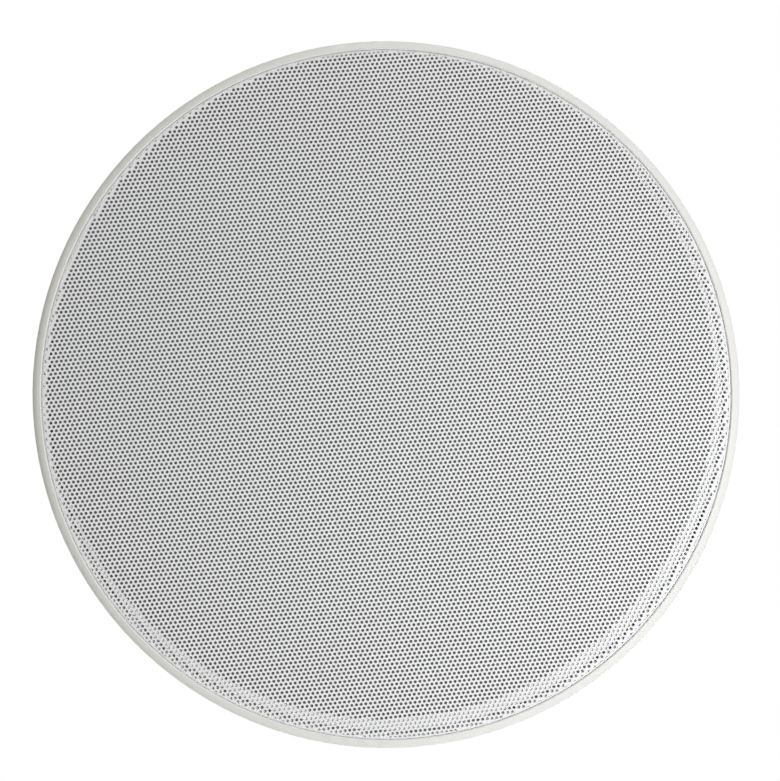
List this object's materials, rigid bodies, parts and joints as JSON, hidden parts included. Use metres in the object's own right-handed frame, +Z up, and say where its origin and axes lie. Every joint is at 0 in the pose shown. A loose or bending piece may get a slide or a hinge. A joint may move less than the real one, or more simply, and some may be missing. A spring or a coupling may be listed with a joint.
{
  "type": "in-ceiling speaker",
  "caption": "Round flush in-ceiling loudspeaker: a coaxial driver in a moulded frame with swing-out clamps, behind a perforated steel grille held by magnets.",
  "frame": {"origin": "centre of the flange's ceiling seat", "axes": "+Z up into the ceiling void along the speaker's axis, -Z towards the room, +X along the tweeter bridge"},
  "size_m": [0.2286, 0.2286, 0.0825],
  "materials": {
    "frame_white": "moulded ABS, satin",
    "grille_white": "powder coat, fine satin",
    "scrim_black": "knitted acoustic cloth",
    "nickel": "nickel plate",
    "foam": "closed-cell foam",
    "basket_black": "black paint, satin",
    "rubber_black": "butyl rubber, matt",
    "cone_black": "filled polypropylene",
    "copper": "enamelled copper",
    "spider_cloth": "resin-treated cloth",
    "zinc_plate": "zinc plate",
    "ferrite": "sintered ferrite, ground faces",
    "bridge_black": "moulded ABS, fine texture",
    "dome_silk": "coated silk",
    "board": "solder mask",
    "capacitor_film": "wrapped film",
    "cement": "cast cement",
    "terminal_black": "moulded ABS",
    "lever_red": "moulded ABS",
    "lever_black": "moulded ABS",
    "screw_black": "black oxide",
    "screw_zinc": "zinc plate",
    "dog_black": "glass-filled nylon"
  },
  "bodies": {
    "root": {"frame": "frame_white", "grille_magnets": "nickel", "woofer_gasket": "foam", "woofer_basket": "basket_black", "woofer_surround": "rubber_black", "woofer_spider": "spider_cloth", "top_plate": "zinc_plate", "ferrite_magnet": "ferrite", "back_plate": "zinc_plate", "tweeter_bridge": "bridge_black", "tweeter_housing": "bridge_black", "tweeter_dome": "dome_silk", "tweeter_magnet": "nickel", "crossover_board": "board", "inductor": "copper", "capacitors": "capacitor_film", "resistor": "cement", "terminal_block": "terminal_black", "terminal_springs": "nickel", "woofer_screws": "screw_black", "bridge_screws": "screw_black", "board_screws": "screw_zinc", "terminal_screws": "screw_zinc"},
    "grille": {"grille": "grille_white", "grille_cloth": "scrim_black"},
    "cone": {"woofer_cone": "cone_black", "dust_cap": "cone_black", "voice_coil": "copper"},
    "clamp_screw_1": {"clamp_screw_1": "screw_zinc"},
    "clamp_dog_1": {"clamp_dog_1": "dog_black"},
    "clamp_screw_2": {"clamp_screw_2": "screw_zinc"},
    "clamp_dog_2": {"clamp_dog_2": "dog_black"},
    "clamp_screw_3": {"clamp_screw_3": "screw_zinc"},
    "clamp_dog_3": {"clamp_dog_3": "dog_black"},
    "clamp_screw_4": {"clamp_screw_4": "screw_zinc"},
    "clamp_dog_4": {"clamp_dog_4": "dog_black"},
    "lever_red": {"lever_red": "lever_red"},
    "lever_black": {"lever_black": "lever_black"}
  },
  "joints": [
    {"name": "grille_pull", "type": "slide", "parent": "root", "child": "grille", "axis": [0, 0, -1], "range_m": [0, 0.03]},
    {"name": "cone_travel", "type": "slide", "parent": "root", "child": "cone", "axis": [0, 0, 1], "range_m": [-0.004, 0.004], "stiffness_N_per_m": 1500, "deforming": ["woofer_surround", "woofer_spider"]},
    {"name": "clamp_swing_1", "type": "hinge", "parent": "root", "child": "clamp_screw_1", "pos_m": [0.06576, 0.06576, 0], "axis": [0, 0, -1], "range_deg": [0, 97]},
    {"name": "clamp_draw_1", "type": "slide", "parent": "clamp_screw_1", "child": "clamp_dog_1", "axis": [0, 0, -1], "range_m": [0, 0.0395]},
    {"name": "clamp_swing_2", "type": "hinge", "parent": "root", "child": "clamp_screw_2", "pos_m": [-0.06576, 0.06576, 0], "axis": [0, 0, -1], "range_deg": [0, 97]},
    {"name": "clamp_draw_2", "type": "slide", "parent": "clamp_screw_2", "child": "clamp_dog_2", "axis": [0, 0, -1], "range_m": [0, 0.0395]},
    {"name": "clamp_swing_3", "type": "hinge", "parent": "root", "child": "clamp_screw_3", "pos_m": [-0.06576, -0.06576, 0], "axis": [0, 0, -1], "range_deg": [0, 97]},
    {"name": "clamp_draw_3", "type": "slide", "parent": "clamp_screw_3", "child": "clamp_dog_3", "axis": [0, 0, -1], "range_m": [0, 0.0395]},
    {"name": "clamp_swing_4", "type": "hinge", "parent": "root", "child": "clamp_screw_4", "pos_m": [0.06576, -0.06576, 0], "axis": [0, 0, -1], "range_deg": [0, 97]},
    {"name": "clamp_draw_4", "type": "slide", "parent": "clamp_screw_4", "child": "clamp_dog_4", "axis": [0, 0, -1], "range_m": [0, 0.0395]},
    {"name": "lever_red_press", "type": "hinge", "parent": "root", "child": "lever_red", "pos_m": [0.00171, 0.09024, 0.0208], "axis": [-0.9976, -0.0698, 0], "range_deg": [0, 15], "stiffness_Nm_per_rad": 0.12},
    {"name": "lever_black_press", "type": "hinge", "parent": "root", "child": "lever_black", "pos_m": [-0.01425, 0.08912, 0.0208], "axis": [-0.9976, -0.0698, 0], "range_deg": [0, 15], "stiffness_Nm_per_rad": 0.12}
  ]
}
